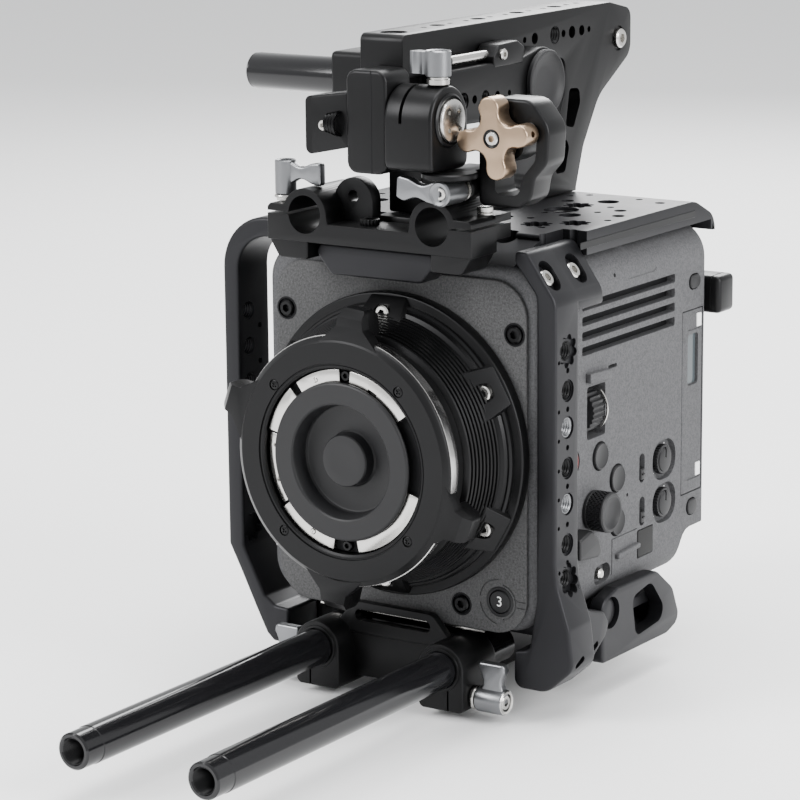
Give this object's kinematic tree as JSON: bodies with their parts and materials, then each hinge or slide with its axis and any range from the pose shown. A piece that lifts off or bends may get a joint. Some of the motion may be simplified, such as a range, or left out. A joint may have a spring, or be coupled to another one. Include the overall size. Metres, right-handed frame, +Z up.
{
  "type": "cinema camera rig",
  "caption": "Boxy cinema camera in a cage with a lens mount, front rods, a top handle and a viewfinder bracket.",
  "frame": {"origin": "centre of the tripod block's underside, on which the rig stands, under the camera", "axes": "+Z up, -Y the way the lens looks, +X to the right of a viewer who faces the lens"},
  "size_m": [0.1673, 0.34, 0.267],
  "materials": {
    "body_paint": "fine speckled matte paint",
    "panel_paint": "fine speckled matte paint, darker",
    "black_plastic": "matte moulded",
    "record_red": "matte moulded",
    "seal_rubber": "matte",
    "sensor_cover": "glossy",
    "filter_glass": "coated",
    "black_metal": "satin black anodised",
    "cage_metal": "bead-blasted dark grey anodised",
    "bright_metal": "satin bright",
    "lever_steel": "bead-blasted",
    "rod_gloss": "gloss black anodised",
    "gold_metal": "champagne anodised"
  },
  "bodies": {
    "rig": {"camera_body": "body_paint", "front_panel": "panel_paint", "image_sensor": "sensor_cover", "nd_filter": "filter_glass", "panel_screw_1": "black_metal", "panel_screw_2": "black_metal", "panel_screw_3": "black_metal", "panel_screw_4": "black_metal", "mount_housing": "black_metal", "battery_plate": "black_metal", "base_plate": "black_metal", "rod_clamp_lower": "black_metal", "tripod_block": "black_metal", "rod_clamp_upper": "black_metal", "nameplate": "black_metal", "handle": "black_metal", "handle_rail": "black_metal", "handle_arm": "black_metal", "arm_disc": "black_metal", "bracket_arm": "black_metal", "swivel_base": "black_metal", "cage_right": "cage_metal", "cage_left": "cage_metal", "top_plate": "cage_metal", "mount_band": "bright_metal", "flange_ring": "bright_metal", "clamp_post": "bright_metal", "handle_bolt": "bright_metal"},
    "lock_ring": {"lock_ring": "black_metal"},
    "mount_cap": {"mount_cap": "black_plastic"},
    "front_button": {"front_button": "black_plastic"},
    "side_button_1": {"side_button_1": "black_plastic"},
    "side_button_2": {"side_button_2": "black_plastic"},
    "side_button_3": {"side_button_3": "black_plastic"},
    "record_button": {"record_button": "record_red"},
    "clips_button": {"clips_button": "black_plastic"},
    "menu_button": {"menu_button": "black_plastic"},
    "filter_wheel": {"filter_wheel": "black_plastic"},
    "jog_knob": {"jog_knob": "black_plastic"},
    "audio_dial_1": {"audio_dial_1": "black_plastic"},
    "audio_dial_2": {"audio_dial_2": "black_plastic"},
    "audio_switch_1": {"audio_switch_1": "black_plastic"},
    "audio_switch_2": {"audio_switch_2": "black_plastic"},
    "power_switch": {"power_switch": "black_plastic"},
    "card_door": {"card_door": "body_paint"},
    "port_cover": {"port_cover": "seal_rubber"},
    "rod_left": {"rod_left": "rod_gloss"},
    "rod_right": {"rod_right": "rod_gloss"},
    "rod_lever_left": {"rod_lever_left": "lever_steel"},
    "rod_lever_right": {"rod_lever_right": "lever_steel"},
    "rod_lever_upper": {"rod_lever_upper": "lever_steel"},
    "cross_rod": {"cross_rod": "rod_gloss"},
    "gold_knob": {"gold_knob": "gold_metal"},
    "swivel": {"tilt_housing": "black_metal", "tilt_disc": "bright_metal"},
    "tilt_lever": {"tilt_lever": "bright_metal"},
    "swivel_lever": {"swivel_lever": "bright_metal"},
    "finder_block": {"finder_block": "black_metal"},
    "finder_jaw": {"finder_jaw": "black_metal"}
  },
  "joints": [
    {"name": "lock_ring_turn", "type": "hinge", "parent": "rig", "child": "lock_ring", "pos_m": [0, -0.098, 0.103], "axis": [0, -1, 0], "range_deg": [0, 50]},
    {"name": "cap_pull", "type": "slide", "parent": "rig", "child": "mount_cap", "axis": [0, -1, 0], "range_m": [0, 0.04]},
    {"name": "front_button_push", "type": "slide", "parent": "rig", "child": "front_button", "axis": [0, 1, 0], "range_m": [0, 0.0008], "stiffness_N_per_m": 400},
    {"name": "side_button_1_push", "type": "slide", "parent": "rig", "child": "side_button_1", "axis": [-1, 0, 0], "range_m": [0, 0.0008], "stiffness_N_per_m": 400},
    {"name": "side_button_2_push", "type": "slide", "parent": "rig", "child": "side_button_2", "axis": [-1, 0, 0], "range_m": [0, 0.0008], "stiffness_N_per_m": 400},
    {"name": "side_button_3_push", "type": "slide", "parent": "rig", "child": "side_button_3", "axis": [-1, 0, 0], "range_m": [0, 0.0008], "stiffness_N_per_m": 400},
    {"name": "record_button_push", "type": "slide", "parent": "rig", "child": "record_button", "axis": [-1, 0, 0], "range_m": [0, 0.0008], "stiffness_N_per_m": 400},
    {"name": "clips_button_push", "type": "slide", "parent": "rig", "child": "clips_button", "axis": [-1, 0, 0], "range_m": [0, 0.0008], "stiffness_N_per_m": 400},
    {"name": "menu_button_push", "type": "slide", "parent": "rig", "child": "menu_button", "axis": [-1, 0, 0], "range_m": [0, 0.0008], "stiffness_N_per_m": 400},
    {"name": "filter_wheel_turn", "type": "hinge", "parent": "rig", "child": "filter_wheel", "pos_m": [0.057, -0.0152, 0.1146], "axis": [0, 1, 0], "continuous": true},
    {"name": "jog_turn", "type": "hinge", "parent": "rig", "child": "jog_knob", "pos_m": [0.07, -0.018, 0.0744], "axis": [1, 0, 0], "continuous": true},
    {"name": "audio_dial_1_turn", "type": "hinge", "parent": "rig", "child": "audio_dial_1", "pos_m": [0.064, 0.0414, 0.0831], "axis": [1, 0, 0], "range_deg": [-140, 140]},
    {"name": "audio_dial_2_turn", "type": "hinge", "parent": "rig", "child": "audio_dial_2", "pos_m": [0.064, 0.0417, 0.0645], "axis": [1, 0, 0], "range_deg": [-140, 140]},
    {"name": "audio_switch_1_slide", "type": "slide", "parent": "rig", "child": "audio_switch_1", "axis": [0, 0, 1], "range_m": [0, 0.0044]},
    {"name": "audio_switch_2_slide", "type": "slide", "parent": "rig", "child": "audio_switch_2", "axis": [0, 0, 1], "range_m": [0, 0.0044]},
    {"name": "power_slide", "type": "slide", "parent": "rig", "child": "power_switch", "axis": [0, 1, 0], "range_m": [0, 0.003]},
    {"name": "card_door_swing", "type": "hinge", "parent": "rig", "child": "card_door", "pos_m": [0.0652, 0.0738, 0.103], "axis": [0, 0, 1], "range_deg": [0, 100]},
    {"name": "port_cover_swing", "type": "hinge", "parent": "rig", "child": "port_cover", "pos_m": [0.0655, 0.0193, 0.0513], "axis": [0, 0, -1], "range_deg": [0, 95]},
    {"name": "rod_left_slide", "type": "slide", "parent": "rig", "child": "rod_left", "axis": [0, -1, 0], "range_m": [-0.05, 0.02]},
    {"name": "rod_lever_left_turn", "type": "hinge", "parent": "rig", "child": "rod_lever_left", "pos_m": [-0.05, -0.0685, 0.0054], "axis": [1, 0, 0], "range_deg": [0, 90]},
    {"name": "rod_right_slide", "type": "slide", "parent": "rig", "child": "rod_right", "axis": [0, -1, 0], "range_m": [-0.05, 0.02]},
    {"name": "rod_lever_right_turn", "type": "hinge", "parent": "rig", "child": "rod_lever_right", "pos_m": [0.05, -0.0685, 0.0054], "axis": [1, 0, 0], "range_deg": [0, 90]},
    {"name": "rod_lever_upper_turn", "type": "hinge", "parent": "rig", "child": "rod_lever_upper", "pos_m": [-0.0444, -0.073, 0.208], "axis": [0, 0, 1], "range_deg": [0, 90]},
    {"name": "cross_rod_slide", "type": "slide", "parent": "rig", "child": "cross_rod", "axis": [-1, 0, 0], "range_m": [0, 0.015]},
    {"name": "gold_knob_turn", "type": "hinge", "parent": "rig", "child": "gold_knob", "pos_m": [0.055, -0.073, 0.2308], "axis": [0, -1, 0], "continuous": true},
    {"name": "swivel_turn", "type": "hinge", "parent": "rig", "child": "swivel", "pos_m": [0.036, -0.077, 0.216], "axis": [0, 0, 1], "range_deg": [0, 45]},
    {"name": "tilt_lever_turn", "type": "hinge", "parent": "swivel", "child": "tilt_lever", "pos_m": [0.031, -0.077, 0.256], "axis": [0, 0, 1], "range_deg": [0, 90]},
    {"name": "swivel_lever_turn", "type": "hinge", "parent": "rig", "child": "swivel_lever", "pos_m": [0.037, -0.076, 0.2094], "axis": [0, -1, 0], "range_deg": [0, 80]},
    {"name": "finder_tilt", "type": "hinge", "parent": "swivel", "child": "finder_block", "pos_m": [0.005, -0.077, 0.2365], "axis": [1, 0, 0], "range_deg": [0, 30]},
    {"name": "finder_jaw_slide", "type": "slide", "parent": "finder_block", "child": "finder_jaw", "axis": [-1, 0, 0], "range_m": [0, 0.004]}
  ]
}
